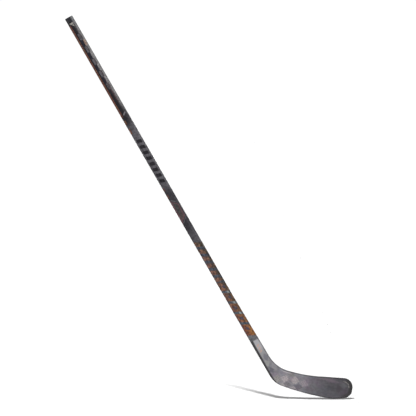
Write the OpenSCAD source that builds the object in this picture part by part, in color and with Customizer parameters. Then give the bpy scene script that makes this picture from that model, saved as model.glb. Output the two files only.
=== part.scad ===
// Ice hockey stick: a hollow carbon shaft bonded to a foam-core blade at the hosel.
// X runs along the ice towards the toe, Z is up, and Y points out of the forehand face.
// The origin is where the sole touches the ice, in the mid-plane of the shaft.

/* [Shaft] */
// Length from the blade joint to the end of the butt cap
shaft_len = 1371; // [1000:1:1500]
// Width of the wide faces
shaft_w = 30; // [27:0.5:32]
// Depth between the wide faces
shaft_d = 20; // [18:0.5:22]
// Radius of the four long corners
corner_r = 5; // [3:0.5:5]
// Thickness of the tube wall
wall_t = 1.5; // [1:0.1:2.5]
// Length over which the tube widens towards the joint
flare_len = 180; // [120:5:250]
// Width of the tube at the joint
joint_w = 33; // [32:0.5:34]
// Length of the butt cap's head beyond the tube
cap_head = 20; // [5:1:30]
// Length of the butt cap's plug inside the tube
cap_plug = 25; // [15:1:40]

/* [Joint] */
// Angle between the shaft and the ice
lie = 46; // [45:0.5:47]
// Length of the tongue inside the tube
tenon_len = 60; // [40:1:80]
// Wall thickness of the tongue
tenon_wall = 2.2; // [1.5:0.1:3]
// Thickness of the bond line
glue_t = 0.3; // [0.2:0.05:0.5]
// Length of the foam stopper above the tongue
stopper_len = 40; // [20:1:80]

/* [Blade outline] */
// Length of the hosel's straight underside
hosel_len = 144; // [140:1:148]
// Length of the hosel's straight upper side
neck_len = 80; // [78:1:82]
// Angle by which the hosel goes on widening, past the joint
neck_flare = 1; // [0.5:0.1:1.5]
// Radius of the heel
heel_r = 84; // [80:1:88]
// Radius of the throat, where the hosel's upper side meets the blade
throat_r = 120; // [115:1:125]
// Rocker radius of the sole
sole_r = 1050; // [1000:10:1100]
// Slope of the sole where it leaves the heel
sole_rear = 6; // [5.5:0.1:6.5]
// Slope of the sole where it starts to sweep up to the toe
sole_front = 3.5; // [3:0.1:4]
// Radius of the sweep under the toe
sweep_r = 180; // [175:1:185]
// Slope at which the sweep gives way to the tip
sweep_end = 26; // [24:1:28]
// Radius of the lower corner of the tip
tip_r = 29; // [27:1:31]
// Radius of the upper corner of the toe
toe_r = 34; // [33:0.5:35]
// Slope of the top edge at the throat, downwards
top_rear = 3; // [2.5:0.1:3.5]
// Slope of the top edge towards the toe, upwards
top_front = 10; // [9.5:0.1:10.5]
// Radius of the hollow in the top edge
crown_r = 520; // [480:10:540]
// Angle by which the toe leans back from upright
toe_lean = 6; // [5:0.5:7]

/* [Blade section] */
// Thickness just past the heel
heel_t = 8; // [7:0.1:9]
// Thickness at the toe
toe_t = 5.6; // [5:0.1:6.5]
// How far the toe curves out of the shaft's plane
curve_depth = 15; // [0:1:20]
// How late the curve starts: a higher power keeps the heel straighter
curve_power = 2.2; // [1.5:0.1:3]
// Angle by which the face opens at the toe
loft = 7; // [0:1:10]
// Thickness of each face laminate
skin_t = 0.9; // [0.6:0.1:1.2]
// Width of the edge wrap along the sole and the top
edge_w = 6; // [6:0.5:7]
// Width of the edge wrap where it starts to round the toe
toe_edge_w = 10; // [8:0.5:12]
// Share of the blade's height taken by the rib
rib_share = 0.08; // [0.05:0.01:0.15]

/* [Hidden] */
$fn = 48;

carbon = [0.27, 0.26, 0.28];
rim = [0.16, 0.16, 0.17];
silver = [0.62, 0.62, 0.64];
foam = [0.86, 0.84, 0.74];
resin = [0.55, 0.42, 0.24];
black = [0.07, 0.07, 0.07];

tube_len = shaft_len - cap_head;
bore_w = shaft_w - 2 * wall_t;
bore_d = shaft_d - 2 * wall_t;
bore_r = corner_r - wall_t;
cap_wall = 2;
least_r = 0.5;
hull_slab = 0.01;

// ---- Rails: the two edges of the hosel and blade, as runs laid end to end ----
// A run is [size, first heading, last heading]. Where the heading stays the same it is
// a straight of that length, and otherwise it is an arc of that radius.

function ahead(a) = [cos(a), sin(a)];
function left_of(a) = [-sin(a), cos(a)];

function heading(run, f) = run[1] + (run[2] - run[1]) * f;
function move(run, f) =
    run[1] == run[2]
        ? run[0] * f * ahead(run[1])
        : let (a = heading(run, f))
          sign(run[2] - run[1]) * run[0] * (left_of(run[1]) - left_of(a));
function run_start(rail, n) = n == 0 ? [0, 0] : run_start(rail, n - 1) + move(rail[n - 1], 1);

// The underside: hosel, heel, sole behind and ahead of the contact point, sweep, tip
lower_rail = [
    [hosel_len, -lie, -lie],
    [heel_r, -lie, -sole_rear],
    [sole_r, -sole_rear, 0],
    [sole_r, 0, sole_front],
    [sweep_r, sole_front, sweep_end],
    [tip_r, sweep_end, 90 + toe_lean]
];

// The upper side, run by run opposite the underside: neck, throat, crown, top, toe corner
toe_split = -48;
neck_heading = neck_flare - lie;
function upper_rail(top_len) = [
    [neck_len, neck_heading, neck_heading],
    [throat_r, neck_heading, -top_rear],
    [crown_r, -top_rear, top_front],
    [top_len, top_front, top_front],
    [toe_r, top_front, toe_split],
    [toe_r, toe_split, toe_lean - 90]
];

// The straight of the top edge is as long as it takes for both rails to reach one toe line
contact = run_start(lower_rail, 3);
joint_low = -contact;
joint_up = joint_low + joint_w * [sin(lie), cos(lie)];
short_by = joint_low + run_start(lower_rail, 6) - joint_up - run_start(upper_rail(0), 6);
top_len = (short_by * ahead(toe_lean)) / cos(toe_lean - top_front);

// ---- Stations: matching points on the two rails ----

steps = [6, 9, 8, 7, 8, 5];
heel_end = steps[0] + steps[1];
sole_end = heel_end + steps[2] + steps[3];
panel_end = sole_end + steps[4];
last = panel_end + steps[5];

// Each station is [x, z, heading]
function stations(rail, origin) = [
    for (n = [0:5], k = [0:steps[n] - (n == 5 ? 0 : 1)])
        let (f = k / steps[n], p = origin + run_start(rail, n) + move(rail[n], f))
        [p.x, p.y, heading(rail[n], f)]
];
lower = stations(lower_rail, joint_low);
upper = stations(upper_rail(top_len), joint_up);

function clamp01(f) = min(1, max(0, f));
function blend(a, b, f) = let (c = clamp01(f)) a + (b - a) * c * c * (3 - 2 * c);
function mix(a, b, f) = a + (b - a) * f;

// Half the thickness at a station: the hosel thins to the heel, then the blade to the toe
joint_x = (joint_low.x + joint_up.x) / 2;
heel_x = lower[heel_end].x;
toe_x = lower[last].x;
function half_t(i) =
    let (x = (lower[i].x + upper[i].x) / 2)
    blend(shaft_d, mix(heel_t, toe_t, clamp01((x - heel_x) / (toe_x - heel_x))),
          (x - joint_x) / (heel_x - joint_x)) / 2;

// The blade's mid-surface: it curves towards the forehand and opens towards the toe
mid_z = upper[heel_end + steps[2]].y / 2;
function on_blade(p, w) =
    let (reach = clamp01((p.x - heel_x) / (toe_x - heel_x)))
    [p.x, curve_depth * pow(reach, curve_power) - tan(loft * pow(reach, 1.5)) * (p.y - mid_z) + w, p.y];

// The edge wrap's inner line. Past panel_end it runs straight across the toe.
function flat(s) = [s.x, s.y];
function wrap_w(i) = blend(edge_w, toe_edge_w, (i - heel_end - steps[2]) / (steps[3] + steps[4]));
function inset(s, d) = flat(s) + d * left_of(s[2]);
chord_steps = 2 * steps[5] + 1;
chord_low = inset(lower[panel_end], toe_edge_w);
chord_up = inset(upper[panel_end], -toe_edge_w);
function inner_low(i) =
    i <= panel_end ? inset(lower[i], wrap_w(i)) : mix(chord_low, chord_up, (i - panel_end) / chord_steps);
function inner_up(i) =
    i <= panel_end ? inset(upper[i], -wrap_w(i)) : mix(chord_up, chord_low, (i - panel_end) / chord_steps);

// ---- Solids ----

function quad(a, b, c, d) = [[a, b, c], [a, c, d]];
function join(lists) = [for (l = lists) each l];

// A panel between stations first and end, over the heights in vs (0 at the sole wrap and
// 1 at the top wrap), from one depth level to another. A level is [side, depth below face].
module panel(first, end, vs, near, far) {
    function level(i, l) = l[0] * (half_t(i) - l[1]);
    function grid(l) =
        [for (i = [first:end], v = vs) on_blade(mix(inner_low(i), inner_up(i), v), level(i, l))];
    rows = end - first;
    cols = len(vs) - 1;
    count = (rows + 1) * (cols + 1);
    function n(i, j) = i * (cols + 1) + j;
    function m(i, j) = count + n(i, j);
    polyhedron(
        points = concat(grid(near), grid(far)),
        faces = join(concat(
            [for (i = [0:rows - 1], j = [0:cols - 1])
                quad(n(i, j), n(i, j + 1), n(i + 1, j + 1), n(i + 1, j))],
            [for (i = [0:rows - 1], j = [0:cols - 1])
                quad(m(i, j), m(i + 1, j), m(i + 1, j + 1), m(i, j + 1))],
            [for (i = [0:rows - 1]) quad(n(i, 0), n(i + 1, 0), m(i + 1, 0), m(i, 0))],
            [for (i = [0:rows - 1]) quad(n(i + 1, cols), n(i, cols), m(i, cols), m(i + 1, cols))],
            [for (j = [0:cols - 1]) quad(n(0, j + 1), n(0, j), m(0, j), m(0, j + 1))],
            [for (j = [0:cols - 1]) quad(n(rows, j), n(rows, j + 1), m(rows, j + 1), m(rows, j))]
        ))
    );
}

// One slice of the edge wrap, from the outer point to the inner point: a rounded nose
// as deep as the tube's corners at the joint, and full thickness behind it
nose_steps = 5;
nose_share = 0.9;
function slice(i, outer, inner) =
    let (
        t = half_t(i),
        r = min(corner_r, nose_share * t),
        w = norm(inner - outer),
        nose = [for (k = [0:nose_steps]) let (a = 90 * k / nose_steps)
                [r * (1 - cos(a)) / w, t - r + r * sin(a)]],
        side = concat(nose, [[1, t], [1, t - skin_t]]),
        turned = [for (k = [len(side) - 1:-1:0]) [side[k][0], -side[k][1]]]
    )
    [for (q = concat(side, turned)) on_blade(mix(outer, inner, q[0]), q[1])];
function lower_slice(i) = slice(i, flat(lower[i]), inner_low(i));
function upper_slice(i) = slice(i, flat(upper[i]), inner_up(i));

// A wrap through slices that run anticlockwise round the blade
module wrap(slices) {
    size = len(slices[0]);
    end = len(slices) - 1;
    function n(i, k) = i * size + k % size;
    polyhedron(
        points = join(slices),
        faces = concat(
            [[for (k = [0:size - 1]) k]],
            join([for (i = [0:end - 1], k = [0:size - 1])
                quad(n(i, k + 1), n(i, k), n(i + 1, k), n(i + 1, k + 1))]),
            [[for (k = [size - 1:-1:0]) n(end, k)]]
        )
    );
}

// Puts children on the shaft: their Z runs up the shaft from the joint, and their X runs
// from the underside to the upper side
module on_shaft() {
    translate([joint_low.x, 0, joint_low.y]) rotate([0, lie - 90, 0]) children();
}

// Outline of a bar that starts at x = inset and lies evenly about y = 0
module bar(inset, w, d, r) {
    translate([inset, -d / 2]) {
        translate([r, 0]) square([w - 2 * r, d]);
        translate([0, r]) square([w, d - 2 * r]);
        for (x = [r, w - r], y = [r, d - r]) translate([x, y]) circle(r);
    }
}

// The bore's outline, drawn in by a gap all round
module bore_bar(gap) {
    bar(wall_t + gap, bore_w - 2 * gap, bore_d - 2 * gap, max(least_r, bore_r - gap));
}

// ---- Sub-parts ----

module shaft_tube() {
    color(carbon) on_shaft() difference() {
        union() {
            hull() {
                linear_extrude(hull_slab) bar(0, joint_w, shaft_d, corner_r);
                translate([0, 0, flare_len - hull_slab]) linear_extrude(hull_slab)
                    bar(0, shaft_w, shaft_d, corner_r);
            }
            translate([0, 0, flare_len]) linear_extrude(tube_len - flare_len)
                bar(0, shaft_w, shaft_d, corner_r);
        }
        translate([0, 0, -1]) linear_extrude(tube_len + 2) bore_bar(0);
    }
}

module end_cap() {
    color(black) on_shaft() translate([0, 0, tube_len]) {
        linear_extrude(cap_head) bar(0, shaft_w, shaft_d, corner_r);
        translate([0, 0, -cap_plug]) linear_extrude(cap_plug) difference() {
            bore_bar(0);
            bore_bar(cap_wall);
        }
    }
}

module shaft_foam_plug() {
    color(foam) on_shaft() translate([0, 0, tenon_len]) linear_extrude(stopper_len) bore_bar(0);
}

module tenon_sleeve() {
    color(carbon) on_shaft() linear_extrude(tenon_len) difference() {
        bore_bar(glue_t);
        bore_bar(glue_t + tenon_wall);
    }
}

module tenon_core() {
    color(foam) on_shaft() linear_extrude(tenon_len) bore_bar(glue_t + tenon_wall);
}

module tenon_adhesive() {
    color(resin) on_shaft() linear_extrude(tenon_len) difference() {
        bore_bar(0);
        bore_bar(glue_t);
    }
}

rib_low = 0.5 - rib_share / 2;
rib_up = 0.5 + rib_share / 2;
face_heights = [0, rib_low / 2, rib_low, rib_up, (rib_up + 1) / 2, 1];

module backhand_skin() {
    color(silver) panel(0, panel_end, face_heights, [-1, 0], [-1, skin_t]);
}

module forehand_skin() {
    color(silver) panel(0, panel_end, face_heights, [1, skin_t], [1, 0]);
}

module core(first, end, heights) {
    panel(first, end, heights, [-1, skin_t], [1, skin_t]);
}

module heel_core() {
    color(resin) core(0, heel_end, face_heights);
}

module lower_core() {
    color(foam) core(heel_end, panel_end, [0, rib_low / 2, rib_low]);
}

module upper_core() {
    color(foam) core(heel_end, panel_end, [rib_up, (rib_up + 1) / 2, 1]);
}

module centre_rib() {
    color(carbon) core(heel_end, panel_end, [rib_low, rib_up]);
}

module sole_edge() {
    color(rim) wrap([for (i = [0:sole_end]) lower_slice(i)]);
}

module top_edge() {
    color(rim) wrap([for (i = [sole_end:-1:0]) upper_slice(i)]);
}

module toe_edge() {
    color(black) wrap(concat(
        [for (i = [sole_end:last]) lower_slice(i)],
        [for (i = [last:-1:sole_end]) upper_slice(i)]
    ));
}

shaft_tube();
end_cap();
shaft_foam_plug();
tenon_sleeve();
tenon_core();
tenon_adhesive();
backhand_skin();
forehand_skin();
heel_core();
lower_core();
upper_core();
centre_rib();
sole_edge();
top_edge();
toe_edge();
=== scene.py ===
"""Looks of the ice hockey stick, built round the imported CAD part.

The CAD's nodes for the tube, the cap, the two faces and the edge wraps are plain, so each is
replaced here by a smooth, finely meshed piece of the same shape and place. What is inside the
stick stays as the CAD has it, with materials of its own.
"""

import math

import bpy
import numpy as np
from mathutils import Matrix, Vector


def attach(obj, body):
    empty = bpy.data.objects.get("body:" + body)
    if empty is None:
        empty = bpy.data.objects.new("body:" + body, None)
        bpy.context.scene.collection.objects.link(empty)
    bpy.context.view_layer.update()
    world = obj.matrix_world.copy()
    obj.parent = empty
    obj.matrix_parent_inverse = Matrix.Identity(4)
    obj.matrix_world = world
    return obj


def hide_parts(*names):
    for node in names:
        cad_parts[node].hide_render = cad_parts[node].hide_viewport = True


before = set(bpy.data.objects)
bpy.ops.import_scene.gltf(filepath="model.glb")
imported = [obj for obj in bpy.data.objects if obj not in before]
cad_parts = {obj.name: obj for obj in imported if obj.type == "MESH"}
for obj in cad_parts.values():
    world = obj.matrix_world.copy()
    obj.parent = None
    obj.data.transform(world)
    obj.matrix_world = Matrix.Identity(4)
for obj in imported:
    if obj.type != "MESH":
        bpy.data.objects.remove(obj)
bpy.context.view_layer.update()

MM = 0.001

# ---- Sizes, in millimetres and degrees: the CAD part's own driving dimensions ----

SHAFT_LEN = 1371
SHAFT_W = 30
SHAFT_D = 20
CORNER_R = 5
WALL_T = 1.5
FLARE_LEN = 180
JOINT_W = 33
CAP_HEAD = 20
CAP_PLUG = 25
LIE = 46

HOSEL_LEN = 144
NECK_LEN = 80
NECK_FLARE = 1
HEEL_R = 84
THROAT_R = 120
SOLE_R = 1050
SOLE_REAR = 6
SOLE_FRONT = 3.5
SWEEP_R = 180
SWEEP_END = 26
TIP_R = 29
TOE_R = 34
TOE_SPLIT = -48
TOE_LEAN = 6
TOP_REAR = 3
TOP_FRONT = 10
CROWN_R = 520

HEEL_T = 8
TOE_T = 5.6
CURVE_DEPTH = 15
CURVE_POWER = 2.2
LOFT = 7
SKIN_T = 0.9
EDGE_W = 6
TOE_EDGE_W = 10
CAP_WALL = 2

TUBE_LEN = SHAFT_LEN - CAP_HEAD

# Finish of the visible pieces, which the plain CAD solids leave out
SEAM_BEVEL = 0.35
CAP_ROUND = 2.6
CAP_GROOVE = 0.9
CAP_GROOVE_DEPTH = 0.6
NOSE_SHARE = 0.9


# ---- Rails: the two edges of the hosel and blade, as runs laid end to end ----
# A run is (size, first heading, last heading): a straight of that length where the heading
# stays the same, and otherwise an arc of that radius.

def ahead(a):
    return np.array([math.cos(math.radians(a)), math.sin(math.radians(a))])


def left_of(a):
    return np.array([-math.sin(math.radians(a)), math.cos(math.radians(a))])


def mix(a, b, f):
    return a + (b - a) * f


def clamp01(f):
    return min(1.0, max(0.0, f))


def blend(a, b, f):
    c = clamp01(f)
    return mix(a, b, c * c * (3 - 2 * c))


def heading(run, f):
    return mix(run[1], run[2], f)


def move(run, f):
    size, first, end = run
    if first == end:
        return size * f * ahead(first)
    return math.copysign(size, end - first) * (left_of(first) - left_of(heading(run, f)))


def run_start(rail, n):
    return sum((move(run, 1) for run in rail[:n]), np.zeros(2))


LOWER_RAIL = [
    (HOSEL_LEN, -LIE, -LIE),
    (HEEL_R, -LIE, -SOLE_REAR),
    (SOLE_R, -SOLE_REAR, 0),
    (SOLE_R, 0, SOLE_FRONT),
    (SWEEP_R, SOLE_FRONT, SWEEP_END),
    (TIP_R, SWEEP_END, 90 + TOE_LEAN),
]
NECK_HEADING = NECK_FLARE - LIE


def upper_rail(top_len):
    return [
        (NECK_LEN, NECK_HEADING, NECK_HEADING),
        (THROAT_R, NECK_HEADING, -TOP_REAR),
        (CROWN_R, -TOP_REAR, TOP_FRONT),
        (top_len, TOP_FRONT, TOP_FRONT),
        (TOE_R, TOP_FRONT, TOE_SPLIT),
        (TOE_R, TOE_SPLIT, TOE_LEAN - 90),
    ]


JOINT_LOW = -run_start(LOWER_RAIL, 3)
ACROSS = np.array([math.sin(math.radians(LIE)), math.cos(math.radians(LIE))])
UP_SHAFT = np.array([-math.cos(math.radians(LIE)), math.sin(math.radians(LIE))])
JOINT_UP = JOINT_LOW + JOINT_W * ACROSS
SHORT_BY = JOINT_LOW + run_start(LOWER_RAIL, 6) - JOINT_UP - run_start(upper_rail(0), 6)
TOP_LEN = SHORT_BY @ ahead(TOE_LEAN) / math.cos(math.radians(TOE_LEAN - TOP_FRONT))
UPPER_RAIL = upper_rail(TOP_LEN)

# Stations: matching places on the two rails. A station is a number, and runs share them out.
STEPS = [6, 9, 8, 7, 8, 5]
HEEL_END = sum(STEPS[:2])
CONTACT = sum(STEPS[:3])
SOLE_END = sum(STEPS[:4])
PANEL_END = sum(STEPS[:5])
LAST = sum(STEPS)
FINE = 6  # slices of a visible piece to one station


def on_rail(rail, origin, i):
    """The rail's point and heading at station i, which need not be whole."""
    n = 0
    while n < len(STEPS) - 1 and i > sum(STEPS[:n + 1]):
        n += 1
    f = (i - sum(STEPS[:n])) / STEPS[n]
    return origin + run_start(rail, n) + move(rail[n], f), heading(rail[n], f)


def lower(i):
    return on_rail(LOWER_RAIL, JOINT_LOW, i)


def upper(i):
    return on_rail(UPPER_RAIL, JOINT_UP, i)


JOINT_X = (JOINT_LOW[0] + JOINT_UP[0]) / 2
HEEL_X = lower(HEEL_END)[0][0]
TOE_X = lower(LAST)[0][0]
MID_Z = upper(CONTACT)[0][1] / 2


def half_t(i):
    """Half the thickness: the hosel thins to the heel, and then the blade to the toe."""
    x = (lower(i)[0][0] + upper(i)[0][0]) / 2
    blade_t = mix(HEEL_T, TOE_T, clamp01((x - HEEL_X) / (TOE_X - HEEL_X)))
    return blend(SHAFT_D, blade_t, (x - JOINT_X) / (HEEL_X - JOINT_X)) / 2


def on_blade(p, depth):
    """The point at p on the blade's curved mid-surface, moved out by depth along Y, in metres."""
    reach = clamp01((p[0] - HEEL_X) / (TOE_X - HEEL_X))
    y = CURVE_DEPTH * reach ** CURVE_POWER
    y -= math.tan(math.radians(LOFT * reach ** 1.5)) * (p[1] - MID_Z)
    return Vector((p[0], y + depth, p[1])) * MM


def wrap_w(i):
    return blend(EDGE_W, TOE_EDGE_W, (i - CONTACT) / (STEPS[3] + STEPS[4]))


def inset(station, d):
    return station[0] + d * left_of(station[1])


CHORD_STEPS = 2 * STEPS[5] + 1
CHORD_LOW = inset(lower(PANEL_END), TOE_EDGE_W)
CHORD_UP = inset(upper(PANEL_END), -TOE_EDGE_W)


def inner_low(i):
    if i <= PANEL_END:
        return inset(lower(i), wrap_w(i))
    return mix(CHORD_LOW, CHORD_UP, (i - PANEL_END) / CHORD_STEPS)


def inner_up(i):
    if i <= PANEL_END:
        return inset(upper(i), -wrap_w(i))
    return mix(CHORD_UP, CHORD_LOW, (i - PANEL_END) / CHORD_STEPS)


def stations(first, end):
    count = (end - first) * FINE
    return [first + k / FINE for k in range(count + 1)]


# ---- Mesh building ----

SHARP_ANGLE = math.radians(32)
RIM = "rim_mm"  # how far a vertex is in from the blade's outline


def make_mesh(name, points, faces, rim=None):
    mesh = bpy.data.meshes.new(name)
    mesh.from_pydata(points, [], faces)
    mesh.validate()
    for polygon in mesh.polygons:
        polygon.use_smooth = True
    mesh.set_sharp_from_angle(angle=SHARP_ANGLE)
    if rim is not None:
        layer = mesh.attributes.new(RIM, "FLOAT", "POINT")
        layer.data.foreach_set("value", rim)
    piece = bpy.data.objects.new(name, mesh)
    bpy.context.scene.collection.objects.link(piece)
    return piece


def loft(rings):
    """Points and faces of the skin over closed rings, each with the same number of points."""
    size = len(rings[0])
    points = [p for ring in rings for p in ring]
    faces = [
        (r * size + k, r * size + (k + 1) % size, (r + 1) * size + (k + 1) % size, (r + 1) * size + k)
        for r in range(len(rings) - 1)
        for k in range(size)
    ]
    return points, faces


def bar_outline(w, d, r, start=0.0, corner_steps=10):
    """A rounded rectangle, anticlockwise: across from start to start + w, and even about depth 0."""
    corners = [
        (start + w - r, d / 2 - r, 0), (start + r, d / 2 - r, 90),
        (start + r, r - d / 2, 180), (start + w - r, r - d / 2, 270),
    ]
    outline = []
    for x, y, turn in corners:
        for k in range(corner_steps + 1):
            a = math.radians(turn + 90 * k / corner_steps)
            outline.append((x + r * math.cos(a), y + r * math.sin(a)))
    return outline


def on_shaft(outline, along):
    """The ring of an outline, along millimetres up the shaft from the joint, in metres."""
    ring = []
    for across, depth in outline:
        p = JOINT_LOW + across * ACROSS + along * UP_SHAFT
        ring.append(Vector((p[0], depth, p[1])) * MM)
    return ring


def shrunk_bar(w, by, along):
    outline = bar_outline(w - 2 * by, SHAFT_D - 2 * by, CORNER_R - by, start=by)
    return on_shaft(outline, along)


def bore_ring(gap, along):
    w = SHAFT_W - 2 * (WALL_T + gap)
    d = SHAFT_D - 2 * (WALL_T + gap)
    return on_shaft(bar_outline(w, d, CORNER_R - WALL_T - gap, start=WALL_T + gap), along)


# ---- Pieces ----

def shaft_width(along):
    return mix(JOINT_W, SHAFT_W, clamp01(along / FLARE_LEN))


RING_GAP = 9


def make_shaft():
    """The tube: outer skin from the joint to the cap, and back down the bore, with bevelled ends."""
    count = round(TUBE_LEN / RING_GAP)
    outer = [shrunk_bar(JOINT_W, SEAM_BEVEL, 0)]
    places = [k * TUBE_LEN / count for k in range(count + 1)]
    places[0], places[-1] = SEAM_BEVEL, TUBE_LEN - SEAM_BEVEL
    outer += [shrunk_bar(shaft_width(z), 0, z) for z in places]
    outer.append(shrunk_bar(SHAFT_W, SEAM_BEVEL, TUBE_LEN))
    bore = [bore_ring(0, TUBE_LEN), bore_ring(0, 0)]
    points, faces = loft(outer + bore + outer[:1])
    size = len(outer[0])
    last_ring = len(points) - size
    faces = [tuple(v - last_ring if v >= last_ring else v for v in face) for face in faces]
    return make_mesh("painted_shaft", points[:last_ring], faces)


CAP_STEPS = 6


def make_cap():
    """The butt cap: a plug in the bore, a groove at the tube, and a head with a rounded end."""
    rings = [bore_ring(CAP_WALL, TUBE_LEN), bore_ring(CAP_WALL, TUBE_LEN - CAP_PLUG)]
    rings += [bore_ring(0, TUBE_LEN - CAP_PLUG), bore_ring(0, TUBE_LEN)]
    rings.append(shrunk_bar(SHAFT_W, CAP_GROOVE_DEPTH, TUBE_LEN))
    rings.append(shrunk_bar(SHAFT_W, CAP_GROOVE_DEPTH, TUBE_LEN + CAP_GROOVE / 2))
    rings.append(shrunk_bar(SHAFT_W, 0, TUBE_LEN + CAP_GROOVE))
    for k in range(CAP_STEPS + 1):
        a = math.radians(90 * k / CAP_STEPS)
        along = SHAFT_LEN - CAP_ROUND * (1 - math.sin(a))
        rings.append(shrunk_bar(SHAFT_W, CAP_ROUND * (1 - math.cos(a)), along))
    points, faces = loft(rings)
    size = len(rings[0])
    faces.append(tuple(reversed(range(size))))
    faces.append(tuple(range(len(points) - size, len(points))))
    return make_mesh("butt_cap", points, faces)


FACE_ROWS = 22


def make_face(name, side):
    """One face laminate between the edge wraps: side is -1 for the backhand, 1 for the forehand."""
    rings, rim = [], []
    shares = [k / FACE_ROWS for k in range(FACE_ROWS + 1)]
    for i in stations(0, PANEL_END):
        low, up = inner_low(i), inner_up(i)
        height = np.linalg.norm(up - low)
        outer = [on_blade(mix(low, up, v), side * half_t(i)) for v in shares]
        inner = [on_blade(mix(low, up, v), side * (half_t(i) - SKIN_T)) for v in shares]
        ring = outer + inner[::-1]
        distance = [wrap_w(i) + height * min(v, 1 - v) for v in shares]
        rings.append(ring if side > 0 else ring[::-1])
        rim += distance + distance[::-1]
    points, faces = loft(rings)
    size = len(rings[0])
    faces.append(tuple(reversed(range(size))))
    faces.append(tuple(range(len(points) - size, len(points))))
    return make_mesh(name, points, faces, rim)


NOSE_STEPS = 12
FLAT_STEPS = 4


def wrap_slice(i, outer, inner):
    """One slice of an edge wrap and each point's distance in from the outline."""
    t = half_t(i)
    r = min(CORNER_R, NOSE_SHARE * t)
    w = np.linalg.norm(inner - outer)
    turns = [math.radians(90 * k / NOSE_STEPS) for k in range(NOSE_STEPS + 1)]
    side = [(r * (1 - math.cos(a)), t - r + r * math.sin(a)) for a in turns]
    side += [(mix(r, w, k / FLAT_STEPS), t) for k in range(1, FLAT_STEPS + 1)]
    profile = side + [(across, -depth) for across, depth in reversed(side)]
    ring = [on_blade(mix(outer, inner, across / w), depth) for across, depth in profile]
    return ring, [across for across, depth in profile]


def lower_slice(i):
    return wrap_slice(i, lower(i)[0], inner_low(i))


def upper_slice(i):
    return wrap_slice(i, upper(i)[0], inner_up(i))


def make_wrap(name, slices):
    """A wrap through slices that run anticlockwise round the blade."""
    points, faces = loft([ring for ring, rim in slices])
    size = len(slices[0][0])
    faces.append(tuple(reversed(range(size))))
    faces.append(tuple(range(len(points) - size, len(points))))
    return make_mesh(name, points, faces, [d for ring, rim in slices for d in rim])


def make_toe_wrap():
    low = [lower_slice(i) for i in stations(SOLE_END, LAST)]
    up = [upper_slice(i) for i in reversed(stations(SOLE_END, LAST))]
    return make_wrap("toe_wrap", low + up)


# ---- Materials ----

def rgb(red, green, blue):
    """A colour from its sRGB parts, 0 to 255."""
    def linear(part):
        c = part / 255
        return c / 12.92 if c <= 0.04045 else ((c + 0.055) / 1.055) ** 2.4
    return (linear(red), linear(green), linear(blue), 1.0)


def grey(level):
    return rgb(level, level, level)


class Value:
    """A number at each point of a surface. Arithmetic on it adds nodes to its paint."""

    def __init__(self, paint, socket):
        self.paint, self.socket = paint, socket

    def _with(self, operation, *others):
        return self.paint.math(operation, self, *others)

    def __add__(self, other):
        return self._with("ADD", other)

    def __sub__(self, other):
        return self._with("SUBTRACT", other)

    def __rsub__(self, other):
        return self.paint.math("SUBTRACT", other, self)

    def __mul__(self, other):
        return self._with("MULTIPLY", other)

    def __truediv__(self, other):
        return self._with("DIVIDE", other)

    __radd__, __rmul__ = __add__, __mul__

    def floor(self):
        return self._with("FLOOR")

    def fract(self):
        return self._with("FRACT")

    def abs(self):
        return self._with("ABSOLUTE")

    def max(self, other):
        return self._with("MAXIMUM", other)

    def rise(self, low, high):
        """0 below low, 1 above high, and a smooth step between. Falls instead if low is the larger."""
        node = self.paint.add("ShaderNodeMapRange")
        node.interpolation_type = "SMOOTHSTEP"
        if low < high:
            span = (low, high, 0.0, 1.0)
        else:
            span = (high, low, 1.0, 0.0)
        self.paint.put(node.inputs[0], self)
        for socket, number in zip(node.inputs[1:5], span):
            socket.default_value = number
        return Value(self.paint, node.outputs[0])

    def within(self, low, high, soft):
        """1 between low and high, with edges that fade over soft."""
        half = soft / 2
        return self.rise(low - half, low + half) * self.rise(high + half, high - half)

    def bars(self, period, centre, width, soft):
        """1 in bars of a width, one each period, with one centred at centre."""
        off = (((self - centre) / period + 0.5).fract() - 0.5).abs() * period
        return off.rise(width / 2 + soft / 2, width / 2 - soft / 2)


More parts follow.
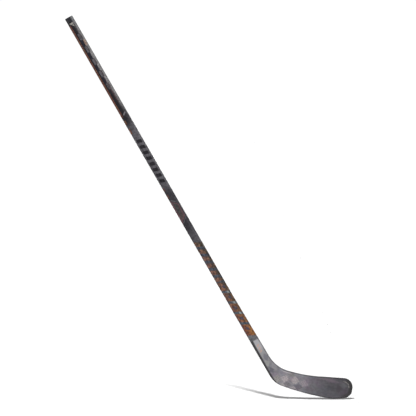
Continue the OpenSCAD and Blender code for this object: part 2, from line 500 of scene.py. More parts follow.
class Paint:
    """A procedural material. The keywords are settings of its Principled shader."""

    def __init__(self, name, **settings):
        self.material = bpy.data.materials.new(name)
        self.material.use_nodes = True
        self.tree = self.material.node_tree
        self.tree.nodes.clear()
        self.shader = self.add("ShaderNodeBsdfPrincipled")
        output = self.add("ShaderNodeOutputMaterial")
        self.tree.links.new(self.shader.outputs["BSDF"], output.inputs["Surface"])
        for setting, value in settings.items():
            self.shader.inputs[setting.replace("_", " ")].default_value = value
        self.place = self.add("ShaderNodeTexCoord").outputs["Object"]

    def add(self, kind):
        return self.tree.nodes.new(kind)

    def put(self, socket, value):
        if isinstance(value, Value):
            self.tree.links.new(value.socket, socket)
        elif isinstance(value, bpy.types.NodeSocket):
            self.tree.links.new(value, socket)
        else:
            socket.default_value = value

    def math(self, operation, *values):
        node = self.add("ShaderNodeMath")
        node.operation = operation
        for socket, value in zip(node.inputs, values):
            self.put(socket, value)
        return Value(self, node.outputs[0])

    def along(self, direction, start):
        """Millimetres past start, a point in millimetres, in a direction."""
        node = self.add("ShaderNodeVectorMath")
        node.operation = "DOT_PRODUCT"
        self.put(node.inputs[0], self.place)
        node.inputs[1].default_value = direction
        return Value(self, node.outputs["Value"]) / MM - Vector(direction).dot(Vector(start))

    def attribute(self, name):
        node = self.add("ShaderNodeAttribute")
        node.attribute_name = name
        return Value(self, node.outputs["Fac"])

    def vector(self, x, y, z=0.0):
        node = self.add("ShaderNodeCombineXYZ")
        for socket, value in zip(node.inputs, (x, y, z)):
            self.put(socket, value)
        return node.outputs[0]

    def noise(self, vector, scale=1.0, detail=2.0, roughness=0.5):
        """Smooth noise from 0 to 1, centred on 0.5."""
        node = self.add("ShaderNodeTexNoise")
        self.put(node.inputs["Vector"], vector)
        node.inputs["Scale"].default_value = scale
        node.inputs["Detail"].default_value = detail
        node.inputs["Roughness"].default_value = roughness
        return Value(self, node.outputs["Fac"])

    def mix(self, share, below, above):
        """The colour below, covered by the colour above as far as share says."""
        node = self.add("ShaderNodeMix")
        node.data_type = "RGBA"
        self.put(node.inputs["Factor"], share)
        self.put(node.inputs[6], below)
        self.put(node.inputs[7], above)
        return node.outputs[2]

    def pick(self, share, below, above):
        """A number between two others, as far as share says."""
        return below + (above - below) * share

    def shade(self, colour, level):
        """The colour times a number."""
        node = self.add("ShaderNodeVectorMath")
        node.operation = "SCALE"
        self.put(node.inputs[0], colour[:3] if isinstance(colour, tuple) else colour)
        self.put(node.inputs["Scale"], level)
        return node.outputs[0]

    def ramp(self, value, stops):
        """A colour that changes along a value. A stop is (where, colour)."""
        first, last = stops[0][0], stops[-1][0]
        node = self.add("ShaderNodeValToRGB")
        elements = node.color_ramp.elements
        elements[0].color, elements[1].color = stops[0][1], stops[-1][1]
        for where, colour in stops[1:-1]:
            elements.new((where - first) / (last - first)).color = colour
        self.put(node.inputs[0], (value - first) / (last - first))
        return node.outputs[0]

    def colour(self, colour):
        self.put(self.shader.inputs["Base Color"], colour)

    def roughness(self, value):
        self.put(self.shader.inputs["Roughness"], value)

    def bump(self, height, depth):
        """Raises the surface where height is 1, by depth millimetres."""
        node = self.add("ShaderNodeBump")
        node.inputs["Distance"].default_value = depth * MM
        self.put(node.inputs["Height"], height)
        self.tree.links.new(node.outputs[0], self.shader.inputs["Normal"])


def twill(across, along, tow):
    """A 2 x 2 twill weave of tows: how high the surface stands, from 0 to 1."""
    column, row = across / tow, along / tow
    over = ((column.floor() + row.floor()) / 4).fract().rise(0.45, 0.55)
    crown_a = 1 - ((column.fract() - 0.5) * 2).abs()
    crown_b = 1 - ((row.fract() - 0.5) * 2).abs()
    return over * crown_a + (1 - over) * crown_b


ORIGIN = (0.0, 0.0, 0.0)
TOWARDS_FOREHAND = (0.0, 1.0, 0.0)
JOINT = (JOINT_LOW[0], 0.0, JOINT_LOW[1])
DOWN_SHAFT = (-UP_SHAFT[0], 0.0, -UP_SHAFT[1])
ACROSS_SHAFT = (ACROSS[0], 0.0, ACROSS[1])
HALF_W = SHAFT_W / 2


def shaft_place(paint):
    """Millimetres from the butt, and across the wide face from the underside, which runs on
    round the two narrow sides: below 0 on the underside, and above the width on the upper side."""
    from_butt = paint.along(DOWN_SHAFT, JOINT) + SHAFT_LEN
    across = paint.along(ACROSS_SHAFT, JOINT)
    depth = paint.along(TOWARDS_FOREHAND, ORIGIN).abs()
    outward = (across - HALF_W).rise(-0.01, 0.01) * 2 - 1
    return from_butt, across + outward * (SHAFT_D / 2 - depth)


def leaning(from_butt, across, lean):
    """Millimetres from the butt, sheared so that marks lean: lean is the shift per millimetre across."""
    return from_butt - (across - HALF_W) * lean


# Where the painted zones start and end, in millimetres from the butt
CHECKER = (64, 310)
STRIP_END = 380
BLOCKS = (512, 704)
PANEL = (772, 866)
BARS = (953, 1350)
WIDE_BARS = 1120  # where the bars widen
SILVER_START = 1373  # the first of the hosel's silver paint

# How often the marks repeat along the shaft
CHECKER_PERIOD = 52
BLOCK_PERIOD = 24
HATCH_PERIOD = 3.4
BAR_PERIOD = 30
WIDE_BAR_PERIOD = 44.5
BAR_LEAN = 0.47

# The fainter grain over all of the shaft's colours: the least shade, and how far each noise adds
SHADE_LEAST = 0.1
STREAK_SHADE = 0.4
CLOUD_SHADE = 0.4
FLECK_SHADE = 0.42


def carbon(level):
    """The cool near-grey of the painted carbon."""
    return rgb(level, level - 2, level + 3)


def levels(paint, s, stops):
    return paint.ramp(s, [(where, carbon(level)) for where, level in stops])


def shaft_colour(paint):
    s, u = shaft_place(paint)
    low = levels(paint, s, [
        (20, 30), (300, 32), (398, 24), (446, 40), (464, 76), (500, 88), (704, 80), (716, 76),
        (738, 52), (786, 52), (868, 43), (892, 47), (906, 66), (950, 77),
    ])
    high = levels(paint, s, [
        (20, 60), (300, 60), (386, 48), (446, 66), (464, 96), (500, 94), (704, 92), (716, 92),
        (738, 62), (786, 60), (868, 60), (892, 64), (906, 80), (950, 84),
    ])
    colour = paint.mix(u.rise(12, 26), low, high)
    colour = upper_strip(paint, colour, s, u)
    colour = checker(paint, colour, s, u)
    colour = blocks(paint, colour, s, u)
    colour = trapezoid(paint, colour, s, u)
    colour = underside_stripe(paint, colour, s, u)
    colour = orange_bars(paint, colour, s, u)
    colour = small_marks(paint, colour, s, u)
    streaks = paint.noise(paint.vector(s / 45, u / 1.6), detail=3.0)
    clouds = paint.noise(paint.vector(s / 16, u / 6), detail=3.0, roughness=0.6)
    flecks = paint.noise(paint.vector(s / 9, u / 6, 5.0), detail=2.0).rise(0.3, 0.7)
    shade = SHADE_LEAST + streaks * STREAK_SHADE + clouds * CLOUD_SHADE + flecks * FLECK_SHADE
    # painted shade: along the lower edge the colour drops to 45%; two bands across the wide face are a
    # little darker in tone
    underside_shade_and_bands = 1 - u.within(-3, 1.5, 2) * 0.55 - u.within(3, 11, 3) * 0.13 - u.within(17, 22, 3) * 0.13
    return paint.shade(colour, shade * underside_shade_and_bands), s, u


def upper_strip(paint, colour, s, u):
    """The pale upper edge, from the butt to below the checker, and after it a thin painted highlight
    along the upper edge.
    """
    above = s.rise(STRIP_END + 40, STRIP_END - 30)
    colour = paint.mix(u.rise(17, 28) * above, colour, rgb(126, 124, 125))
    # painted highlight: past the strip the upper edge is lightened, most near the strip
    thin = u.rise(26, 31) * (1 - above) * (0.5 + s.rise(460, 390) * 0.5)
    colour = paint.mix(thin, colour, paint.mix(s.rise(460, 390), rgb(106, 105, 108), rgb(136, 136, 137)))
    red_line = u.within(18, 20.5, 2) * s.within(225, 360, 20)
    return paint.mix(red_line * 0.7, colour, rgb(92, 62, 66))


def checker(paint, colour, s, u):
    """Two rows of pale cells below the butt, half a period apart, which fade out."""
    length, soft = CHECKER_PERIOD / 2, 3
    start = s.rise(CHECKER[0], CHECKER[0] + 8) * s.rise(CHECKER[1] + 20, CHECKER[1] - 40)
    low_row = s.bars(CHECKER_PERIOD, 84, length, soft) * u.within(12.5, 19.5, 2.5) * start
    top_row = s.bars(CHECKER_PERIOD, 110, length, soft) * u.within(19.5, 28, 2.5) * start
    colour = paint.mix(low_row * 0.9, colour, rgb(92, 90, 95))
    warm = s.within(99, 121, 3)
    dark_row = s.bars(CHECKER_PERIOD, 110, length, soft) * u.within(9.5, 19.5, 2.5) * start
    colour = paint.mix(dark_row * 0.6, colour, rgb(28, 27, 42))
    between = s.bars(CHECKER_PERIOD, 84, length, soft) * u.within(19.5, 23, 2.5) * start
    colour = paint.mix(between * 0.7, colour, rgb(66, 56, 60))
    return paint.mix(top_row * 0.85, colour, paint.mix(warm, rgb(134, 132, 133), rgb(148, 124, 110)))


def underside_stripe(paint, colour, s, u):
    """A red-brown stripe of fine slanted hatching along the lower edge."""
    hatch = leaning(s, u, 0.9).bars(HATCH_PERIOD, 0, HATCH_PERIOD / 2, 1.2)
    on = s.within(32, 418, 4).max(s.within(432, 449, 4)).max(s.within(466, 488, 5))
    faint = s.within(718, 732, 5).max(s.within(746, 762, 6)) * 0.6
    brown = paint.mix(hatch, rgb(86, 55, 48), rgb(116, 71, 58))
    ochre = paint.noise(paint.vector(s / 30, 0.0, 2.0), detail=2.0).rise(0.48, 0.62)
    brown = paint.mix(ochre * 0.5, brown, rgb(112, 82, 54))
    colour = paint.mix(on.max(faint) * u.within(-9, 7, 3), colour, brown)
    pink = paint.mix(hatch, rgb(88, 62, 70), rgb(122, 86, 92))
    return paint.mix(s.within(PANEL[0], PANEL[1], 8) * u.within(-9, 5.5, 3) * 0.9, colour, pink)


def blocks(paint, colour, s, u):
    """A run of plain, dark, slanted bars on grey."""
    on = leaning(s, u, 0.28).bars(BLOCK_PERIOD, BLOCKS[0] + BLOCK_PERIOD / 2, 13.5, 3)
    inside = s.within(BLOCKS[0] + 2, BLOCKS[1] - 2, 2) * u.within(5, 24, 3)
    gleam = paint.noise(paint.vector(s / 7, u / 5, 2.0), detail=2.0)
    return paint.mix(on * inside, colour, paint.mix(gleam.rise(0.3, 0.7), carbon(24), carbon(38)))


def trapezoid(paint, colour, s, u):
    """A purple-brown panel, wider at its lower edge, between two thin pale lines."""
    middle = (PANEL[0] + PANEL[1]) / 2
    half = (PANEL[1] - PANEL[0]) / 2 - u * 0.92
    off = (s - middle).abs() - half
    inside = off.rise(1, -1) * u.within(-9, 25, 2)
    fleck = paint.noise(paint.vector(s / 7, u / 4), detail=2.0)
    ground = paint.mix(s.rise(middle - 10, middle + 30), rgb(55, 55, 57), rgb(78, 63, 62))
    colour = paint.mix(inside, colour, paint.mix(fleck.rise(0.45, 0.6), ground, rgb(69, 67, 67)))
    rim = off.within(-5, 0, 2).max(inside * u.within(20, 25, 3))
    colour = paint.mix(rim * u.within(-9, 25, 2) * 0.8, colour, rgb(96, 68, 74))
    line = off.within(4, 8, 2) * u.within(5, 26, 2)
    return paint.mix(line * 0.5, colour, rgb(112, 111, 116))


def orange_bars(paint, colour, s, u):
    """Slanted bars on slate, from olive-brown to orange towards the blade, where they widen."""
    place = leaning(s, u, BAR_LEAN)
    first, last = BARS
    slate = paint.ramp(s, [(first, rgb(66, 68, 78)), (last, rgb(78, 86, 94))])
    patchy = paint.noise(paint.vector(s / 10, u / 7, 6.0), detail=2.0).rise(0.4, 0.6)
    slate = paint.mix(patchy, paint.shade(slate, 0.6), paint.shade(slate, 1.3))
    low = paint.ramp(s, [
        (first, rgb(104, 76, 62)), (1050, rgb(128, 92, 83)), (1110, rgb(114, 84, 72)),
        (last, rgb(114, 68, 58)),
    ])
    middle = paint.ramp(s, [
        (first, rgb(86, 70, 54)), (1050, rgb(112, 80, 68)), (1180, rgb(110, 78, 60)),
        (last, rgb(128, 78, 44)),
    ])
    high = paint.ramp(s, [
        (first, rgb(80, 70, 52)), (1160, rgb(86, 70, 54)), (1240, rgb(106, 76, 54)),
        (last, rgb(148, 98, 50)),
    ])
    bar = paint.mix(u.rise(15, 24), paint.mix(u.rise(4, 12), low, middle), high)
    wear = paint.noise(paint.vector(s / 13, u / 8), detail=2.0, roughness=0.6)
    bar = paint.mix(wear.rise(0.5, 0.6) * 0.75, bar, rgb(56, 50, 52))
    bar = paint.mix(wear.rise(0.46, 0.36) * 0.5, bar, rgb(160, 116, 96))
    narrow = place.bars(BAR_PERIOD, first + 10, 18, 2.5)
    centre = WIDE_BARS + 23
    wide = place.bars(WIDE_BAR_PERIOD, centre, 35, 2.5).max(place.rise(last - 30, last - 28))
    slot = place.bars(WIDE_BAR_PERIOD, centre, 11, 3) * u.within(12, 22, 3)
    bar = paint.mix(slot * s.rise(WIDE_BARS, WIDE_BARS + 2) * 0.8, bar, rgb(66, 68, 86))
    glint = u.within(18, 25, 3) * s.within(WIDE_BARS + 30, WIDE_BARS + 150, 10)
    slate = paint.mix(glint * 0.7, slate, rgb(160, 166, 164))
    on = paint.pick(s.rise(WIDE_BARS - 2, WIDE_BARS), narrow, wide)
    colour_in = paint.mix(on, slate, bar)
    rim = u.within(22, 27.5, 2.5) * s.rise(1230, 1120) * 0.5
    colour_in = paint.mix(rim, colour_in, rgb(50, 46, 46))
    return paint.mix(place.within(first, last, 1.5), colour, colour_in)


def small_marks(paint, colour, s, u):
    """A pale wedge by the cap, a thin slash, and the slate band at the joint."""
    wedge = s.rise(22.5, 23.5) * u.rise(20, 19) * ((u - 4) * 1.15 - (s - 23)).rise(0, 1)
    colour = paint.mix(wedge, colour, rgb(150, 146, 140))
    slash = leaning(s, u, -0.7).within(407, 412.5, 2) * u.within(11, 23, 3)
    colour = paint.mix(slash * 0.6, colour, rgb(150, 147, 152))
    joint = leaning(s, u, BAR_LEAN).rise(BARS[1], BARS[1] + 1.5)
    dots = leaning(s, u, 0.9).bars(7, 0, 3, 2) * leaning(s, u, -0.9).bars(7, 0, 3, 2)
    return paint.mix(joint, colour, paint.mix(dots, rgb(92, 92, 96), rgb(122, 122, 126)))


def make_shaft_paint():
    paint = Paint("shaft_paint", Specular_IOR_Level=0.14, Coat_Weight=0.06, Coat_Roughness=0.25)
    colour, s, u = shaft_colour(paint)
    paint.colour(colour)
    scuff = paint.noise(paint.place, scale=220, detail=4.0, roughness=0.7)
    paint.roughness(0.42 + scuff * 0.2)
    paint.bump(twill(u, s, 2.2) * 0.5 + scuff * 0.5, 0.03)
    return paint.material


def make_cap_plastic():
    paint = Paint("cap_plastic", Specular_IOR_Level=0.2)
    s, u = shaft_place(paint)
    grain = paint.noise(paint.place, scale=900, detail=3.0)
    colour = paint.mix(u.rise(18.5, 26), rgb(26, 26, 32), rgb(110, 111, 113))
    colour = paint.mix(u.rise(10, 4) * 0.6, colour, rgb(52, 54, 56))
    paint.colour(paint.shade(colour, 0.72 + grain * 0.3))
    paint.roughness(0.5 + grain * 0.2)
    paint.bump(grain, 0.06)
    return paint.material


# Diamonds where the wide tows show: the place of the middle, the half sizes, share and colour. On
# the blade the place is x and z, and on the hosel it is from the butt and across.
# painted sheen: the pale and dark diamonds give the tows' pattern together with their sheen
TOW_CELLS_AND_SHEEN = [
    (-104, 35, 20, 16, 0.68, rgb(190, 178, 180)), (-68, 37, 20, 16, 0.62, rgb(188, 178, 178)),
    (-32, 34, 18, 15, 0.55, rgb(170, 158, 166)), (-105, 11, 16, 9, 0.6, rgb(192, 186, 184)),
    (-67, 8, 15, 8, 0.55, rgb(180, 170, 174)), (-92, 16, 18, 12, 0.65, rgb(112, 110, 112)),
    (-50, 17, 20, 14, 0.6, rgb(104, 94, 104)), (-84, 54, 18, 11, 0.5, rgb(126, 125, 118)),
    (-134, 25, 22, 19, 0.9, rgb(158, 153, 152)), (-50, 62, 18, 9, 0.4, rgb(160, 160, 168)),
    (-50, 50, 14, 10, 0.35, rgb(124, 116, 128)), (-86, 33, 10, 9, 0.4, rgb(118, 112, 118)),
]
PATCHES = [
    (-122, 56, 24, 12, 0.3, rgb(148, 134, 148)), (-18, 52, 26, 16, 0.35, rgb(120, 106, 122)),
    (-6, 20, 24, 16, 0.4, rgb(92, 83, 93)), (10, 58, 30, 14, 0.35, rgb(108, 93, 108)),
    (60, 69, 60, 9, 0.7, rgb(118, 106, 117)), (38, 32, 24, 18, 0.35, rgb(88, 90, 98)),
    (72, 44, 20, 16, 0.55, rgb(70, 69, 74)), (55, 18, 34, 7, 0.4, rgb(76, 75, 86)),
    (99, 46, 16, 18, 0.6, rgb(72, 64, 72)), (120, 33, 16, 14, 0.4, rgb(88, 76, 86)),
    (92, 14, 24, 9, 0.35, rgb(90, 88, 94)), (113, 62, 18, 14, 0.5, rgb(112, 114, 116)),
]
HOSEL_TOW_CELLS_AND_SHEEN = [
    (1447, 24, 17, 14, 0.65, rgb(108, 107, 118)), (1469, 15, 18, 16, 0.6, rgb(160, 161, 157)),
    (1500, 17, 20, 15, 0.7, rgb(98, 96, 108)), (1492, 38, 18, 14, 0.4, rgb(160, 158, 162)),
]
TOW_EDGE = (1.05, 0.8)
PATCH_EDGE = (1.3, 0.2)
TOW_HATCH = 10.6


def blade_place(paint):
    """Millimetres along the ice and up from it, from where the sole touches it."""
    return paint.along((1.0, 0.0, 0.0), ORIGIN), paint.along((0.0, 0.0, 1.0), ORIGIN)


def blade_colour(paint, x, z):
    s, u = shaft_place(paint)
    rim = paint.attribute(RIM)
    colour = levels(paint, x, [
        (-210, 134), (-150, 130), (-120, 138), (-95, 140), (-40, 131), (-10, 113), (20, 101),
        (60, 89), (100, 84), (150, 82),
    ])
    clouds = paint.noise(paint.place, scale=26, detail=3.0, roughness=0.55)
    tints = paint.noise(paint.vector(x / 34, z / 26, 4.0), detail=2.0)
    colour = tint(paint, colour, tints.rise(0.5, 0.66), (1.03, 0.93, 1.03))
    colour = tint(paint, colour, tints.rise(0.46, 0.34), (0.92, 0.97, 1.02))
    mottle = paint.noise(paint.vector(x / 11, z / 8, 7.0), detail=2.0).rise(0.3, 0.7)
    colour = paint.shade(colour, 0.62 + clouds * 0.46 + mottle * 0.3)
    colour = paint.mix(s.rise(1500, 1420), colour, rgb(154, 153, 156))
    colour = paint.mix(s.rise(1430, 1400), colour, rgb(175, 174, 178))
    colour = tow_cells_and_sheen(paint, colour, x, z)
    colour = hosel_sheen_and_dashes(paint, colour, s, u)
    # painted highlight: a pale streak just inside the blade's upper edge at the throat
    painted_throat_highlight = rim.within(5.5, 8.5, 1.5) * x.within(-125, -88, 20) * z.rise(44, 50)
    colour = paint.mix(painted_throat_highlight * 0.65, colour, rgb(200, 194, 196))
    colour = paint.mix(s.rise(SILVER_START + 1, SILVER_START - 1), colour, rgb(108, 108, 112))
    # painted shade: a dark band along the lower side of the hosel
    underside = (u + (s - SILVER_START) * 0.045).rise(12.5, 8.5)
    colour = paint.mix(underside, colour, rgb(62, 61, 64))
    edge = rim.rise(5.5, 1.5) * (0.5 + x.rise(-140, 0) * 0.3)
    colour = paint.mix(edge, colour, rgb(50, 49, 52))
    return toe_band(paint, colour, x, z, rim)


def toe_band(paint, colour, x, z, rim):
    """A black band round the toe, scuffed by the ice, with a pale arc of painted highlight inside its
    upper part, broken up by noise.
    """
    scuff = paint.noise(paint.place, scale=90, detail=4.0, roughness=0.65)
    band = rim.rise(18, 10) * x.rise(108, 126)
    colour = paint.mix(band * 0.85, colour, rgb(60, 58, 59))
    colour = paint.mix(scuff.rise(0.56, 0.72) * band * 0.5, colour, rgb(124, 120, 121))
    # painted highlight: a pale arc along the inside of the band's upper part
    highlight_breakup = paint.noise(paint.vector(x / 4, z / 4, 8.0), detail=2.0).rise(0.35, 0.5)
    arc = rim.within(12, 15.5, 2) * z.rise(54, 62) * x.rise(104, 112) * highlight_breakup
    return paint.mix(arc * 0.65, colour, rgb(166, 160, 156))


def tint(paint, colour, share, parts):
    """The colour, with its red, green and blue scaled as far as share says."""
    node = paint.add("ShaderNodeVectorMath")
    node.operation = "MULTIPLY"
    paint.put(node.inputs[0], colour)
    node.inputs[1].default_value = parts
    return paint.mix(share, colour, node.outputs[0])


def tow_cells_and_sheen(paint, colour, x, z):
    """The wide tows under the lacquer: pale and dark diamonds at the heel, with the fibres' sheen
    painted in, and soft patches beyond.
    """
    warp = paint.noise(paint.vector(x / 14, z / 14, 9.0), detail=2.0) * 10 - 5
    x, z = x + warp, z - warp
    fray = paint.noise(paint.vector(x / 6, z / 6, 3.0), detail=2.0).rise(0.35, 0.6)
    rising, falling = [way.bars(TOW_HATCH, 0, 4.5, 3) for way in (x + z, x - z)]
    hatch = rising.max(falling) * fray
    colour = diamonds(paint, colour, x, z, TOW_CELLS_AND_SHEEN, TOW_EDGE, hatch)
    return diamonds(paint, colour, x, z, PATCHES, PATCH_EDGE)


def diamonds(paint, colour, a, b, marks, edge, hatch=None):
    """The colour with diamonds over it, at places a and b. Their edge fades between two shares of
    their size, and hatching on them is in a darker tone."""
    for centre_a, centre_b, half_a, half_b, share, cell in marks:
        off = (a - centre_a).abs() / half_a + (b - centre_b).abs() / half_b
        if hatch is not None:
            darker = tuple(part * 0.64 for part in cell[:3]) + (1.0,)
            cell = paint.mix(hatch, cell, darker)
        colour = paint.mix(off.rise(*edge) * share, colour, cell)
    return colour


def hosel_sheen_and_dashes(paint, colour, s, u):
    """The same tows, with their painted sheen, on the hosel, and three small slanted dashes above them.
    """
    colour = diamonds(paint, colour, s, u, HOSEL_TOW_CELLS_AND_SHEEN, TOW_EDGE)
    place = leaning(s, u, -0.5)
    dashes = place.bars(12, 1397, 6, 2) * place.within(1391, 1427, 1) * u.within(13, 24, 2.5)
    return paint.mix(dashes * 0.7, colour, rgb(206, 166, 146))


def make_blade_paint(name):
    paint = Paint(name, Specular_IOR_Level=0.16, Coat_Weight=0.06, Coat_Roughness=0.25)
    x, z = blade_place(paint)
    weave = twill(x, z, 2.0)
    paint.colour(paint.shade(blade_colour(paint, x, z), 0.57 + weave * 0.07))
    scuff = paint.noise(paint.place, scale=180, detail=4.0, roughness=0.7)
    paint.roughness(0.4 + scuff * 0.2)
    paint.bump(weave * 0.6 + scuff * 0.4, 0.05)
    return paint.material


def make_toe_paint():
    """The toe wrap: the blade's finish with a coarser grain."""
    paint = Paint("toe_wrap", Specular_IOR_Level=0.16, Coat_Weight=0.05, Coat_Roughness=0.3)
    grain = paint.noise(paint.place, scale=400, detail=4.0, roughness=0.7)
    colour = blade_colour(paint, *blade_place(paint))
    paint.colour(paint.shade(colour, 0.53 + grain * 0.16))
    paint.roughness(0.45 + grain * 0.2)
    paint.bump(grain, 0.08)
    return paint.material


def make_bare_laminate():
    """Unpainted twill: pieces inside the stick."""
    paint = Paint("bare_laminate", Specular_IOR_Level=0.5, Coat_Weight=0.2, Coat_Roughness=0.25)
    s, u = shaft_place(paint)
    weave = twill(u, s, 2.2)
    paint.colour(paint.mix(weave, rgb(14, 14, 16), rgb(48, 48, 52)))
    paint.roughness(0.3 + weave * 0.2)
    paint.bump(weave, 0.1)
    return paint.material


def make_core_foam():
    paint = Paint("core_foam", Specular_IOR_Level=0.25)
    cells = paint.add("ShaderNodeTexVoronoi")
    cells.inputs["Scale"].default_value = 900
    paint.put(cells.inputs["Vector"], paint.place)
    wall = Value(paint, cells.outputs["Distance"])
    tone = paint.noise(paint.place, scale=60, detail=3.0)
    colour = paint.mix(wall.rise(0.1, 0.7), rgb(206, 196, 164), rgb(236, 229, 204))
    paint.colour(paint.shade(colour, 0.9 + tone * 0.2))
    paint.roughness(0.8 + tone * 0.15)
    paint.bump(wall, 0.3)
    return paint.material


def make_adhesive():
    paint = Paint("adhesive", Specular_IOR_Level=0.5)
    flow = paint.noise(paint.place, scale=120, detail=2.0)
    paint.colour(paint.mix(flow, rgb(150, 104, 44), rgb(190, 142, 72)))
    paint.roughness(0.2 + flow * 0.25)
    paint.bump(flow, 0.1)
    return paint.material


# ---- The stick ----

def dress(piece, material, slot, *nodes):
    """Gives a piece its material and body, and hides the CAD nodes it stands for. The slot is not used.
    """
    piece.data.materials.append(material)
    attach(piece, "root")
    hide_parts(*nodes)


def make_stick():
    shaft_paint = make_shaft_paint()
    face_paint = make_blade_paint("blade_laminate")
    edge_paint = make_blade_paint("edge_wrap")
    dress(make_shaft(), shaft_paint, "shaft_paint", "shaft_tube")
    dress(make_cap(), make_cap_plastic(), "cap_plastic", "end_cap")
    dress(make_face("backhand_face", -1), face_paint, "blade_laminate", "backhand_skin")
    dress(make_face("forehand_face", 1), face_paint, "blade_laminate", "forehand_skin")
    sole = [lower_slice(i) for i in stations(0, SOLE_END)]
    top = [upper_slice(i) for i in reversed(stations(0, SOLE_END))]
    dress(make_wrap("sole_wrap", sole), edge_paint, "edge_wrap", "sole_edge")
    dress(make_wrap("top_wrap", top), edge_paint, "edge_wrap", "top_edge")
    dress(make_toe_wrap(), make_toe_paint(), "toe_wrap", "toe_edge")


INNER_NODES = {
    "bare_laminate": ["tenon_sleeve", "centre_rib"],
    "core_foam": ["shaft_foam_plug", "tenon_core", "heel_core", "lower_core", "upper_core"],
    "adhesive": ["tenon_adhesive"],
}


def finish_inner_nodes():
    makers = {
        "bare_laminate": make_bare_laminate, "core_foam": make_core_foam, "adhesive": make_adhesive,
    }
    for kind, nodes in INNER_NODES.items():
        material = makers[kind]()
        for node in nodes:
            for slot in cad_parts[node].material_slots:
                slot.material = material


# ---- Studio ----

ROLL = math.radians(14.175)  # the stick is tipped up onto its toe in the view
ELEVATION = math.radians(3)
LENS = 300
SENSOR = 36
VIEW_W = 1.5325  # width of the view at the stick
VIEW_CENTRE = Vector((-0.5343, 0.0, 0.5766))
VIEW_RIGHT = Vector((math.cos(ROLL), 0.0, math.sin(ROLL)))
VIEW_LEVEL_UP = Vector((-math.sin(ROLL), 0.0, math.cos(ROLL)))

FLOOR_SIZE = 40
FLOOR_T = 0.001
FLOOR_GAP = 0.003
FLOOR_PAST_TOE = 0.02

WHITE = (1.0, 1.0, 1.0, 1.0)

# Suns: the way they shine in the view's level axes, the spread in degrees and the strength
KEY_SUN = ((0.22, 0.88, -1.0), 4.5, 4.15)
BACK_SUN = ((0.0, -1.0, 0.0), 5, 1.2)

# Sky: its strength as light, and where the camera sees it
SKY_LIGHT = 0.3
SKY_SEEN = 1.05

# The floor's glowing patch, in millimetres from the origin: it fades in over FADE_IN and out over
# FADE_OUT to the left, and lies within GLOW_DEPTH, with edges GLOW_SOFT wide
FADE_IN = (-20, -580)
FADE_OUT = (-1100, -800)
GLOW_DEPTH = (-50, 1350)
GLOW_SOFT = 300
GLOW_STRENGTH = 0.75


def make_camera():
    data = bpy.data.cameras.new("camera")
    data.lens, data.sensor_width = LENS, SENSOR
    camera = bpy.data.objects.new("camera", data)
    bpy.context.scene.collection.objects.link(camera)
    back = Vector((0.0, -1.0, 0.0)) * math.cos(ELEVATION) + VIEW_LEVEL_UP * math.sin(ELEVATION)
    camera.location = VIEW_CENTRE + back * VIEW_W * LENS / SENSOR
    up = back.cross(VIEW_RIGHT)
    camera.rotation_euler = Matrix((VIEW_RIGHT, up, back)).transposed().to_euler()
    bpy.context.scene.camera = camera


def make_sun(name, way, spread, strength):
    """A soft light that shines one way everywhere. Its spread is in degrees."""
    data = bpy.data.lights.new(name, "SUN")
    data.angle, data.energy = math.radians(spread), strength
    light = bpy.data.objects.new(name, data)
    bpy.context.scene.collection.objects.link(light)
    tip = Matrix.Rotation(-ROLL, 3, "Y")
    light.rotation_euler = (-(tip @ Vector(way))).to_track_quat("Z", "Y").to_euler()
    return light


def make_world():
    """White behind the stick, and a dimmer grey as the light that falls on it."""
    world = bpy.data.worlds.new("studio")
    world.use_nodes = True
    tree = world.node_tree
    background = tree.nodes["Background"]
    background.inputs["Color"].default_value = WHITE
    path = tree.nodes.new("ShaderNodeLightPath")
    strength = tree.nodes.new("ShaderNodeMapRange")
    strength.inputs["To Min"].default_value = SKY_LIGHT
    strength.inputs["To Max"].default_value = SKY_SEEN
    tree.links.new(path.outputs["Is Camera Ray"], strength.inputs["Value"])
    tree.links.new(strength.outputs[0], background.inputs["Strength"])
    bpy.context.scene.world = world


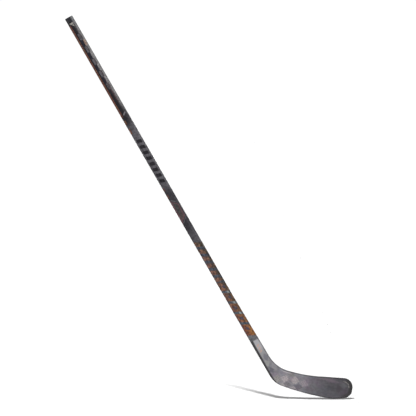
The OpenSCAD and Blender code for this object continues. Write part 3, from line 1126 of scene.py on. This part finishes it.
def make_floor_paper():
    """White paper. A patch of it glows, and so the shadow fades out away from the blade."""
    paper = Paint("floor_paper", Roughness=0.9, Specular_IOR_Level=0.1, Emission_Color=WHITE)
    grain = paper.noise(paper.place, scale=3, detail=2.0)
    paper.colour(paper.shade(grey(239), 0.985 + grain * 0.03))
    right = paper.along(tuple(VIEW_RIGHT), ORIGIN)
    depth = paper.along(TOWARDS_FOREHAND, ORIGIN)
    patch = right.rise(*FADE_IN) * right.rise(*FADE_OUT) * depth.within(*GLOW_DEPTH, GLOW_SOFT)
    paper.put(paper.shader.inputs["Emission Strength"], patch * GLOW_STRENGTH)
    return paper.material


def make_floor_glow():
    """As white as the backdrop, for the floor's lower side and its edges."""
    glow = Paint("floor_glow", Emission_Strength=1.0, Emission_Color=WHITE)
    haze = glow.noise(glow.place, scale=3, detail=2.0)
    glow.colour(glow.shade(grey(20), 0.985 + haze * 0.03))
    return glow.material


def make_floor():
    """A thin sheet of paper, level in the view, under the toe that the stick stands on. It ends
    just past the toe."""
    sole = [lower(i)[0] * MM for i in range(CONTACT, LAST + 1)]
    rim = [Vector((p[0], 0.0, p[1])) for p in sole]
    top = min(p.dot(VIEW_LEVEL_UP) for p in rim) - FLOOR_GAP
    end = max(p.dot(VIEW_RIGHT) for p in rim) + FLOOR_PAST_TOE
    start = end - FLOOR_SIZE
    corners = [(start, -FLOOR_SIZE), (end, -FLOOR_SIZE), (end, FLOOR_SIZE), (start, FLOOR_SIZE)]
    points = [
        VIEW_RIGHT * right + VIEW_LEVEL_UP * level + Vector((0.0, depth, 0.0))
        for level in (top, top - FLOOR_T)
        for right, depth in corners
    ]
    sides = [(k, k + 4, (k + 1) % 4 + 4, (k + 1) % 4) for k in range(4)]
    mesh = bpy.data.meshes.new("floor")
    mesh.from_pydata(points, [], [(0, 1, 2, 3), (7, 6, 5, 4)] + sides)
    floor = bpy.data.objects.new("floor", mesh)
    bpy.context.scene.collection.objects.link(floor)
    mesh.materials.append(make_floor_paper())
    mesh.materials.append(make_floor_glow())
    for face in mesh.polygons[1:]:
        face.material_index = 1


def make_studio():
    make_camera()
    make_world()
    make_floor()
    make_sun("key_light", *KEY_SUN)
    back_fill = make_sun("back_fill", *BACK_SUN)
    back_fill.visible_glossy = False
    bpy.context.scene.view_settings.view_transform = "Standard"


make_studio()
make_stick()
finish_inner_nodes()
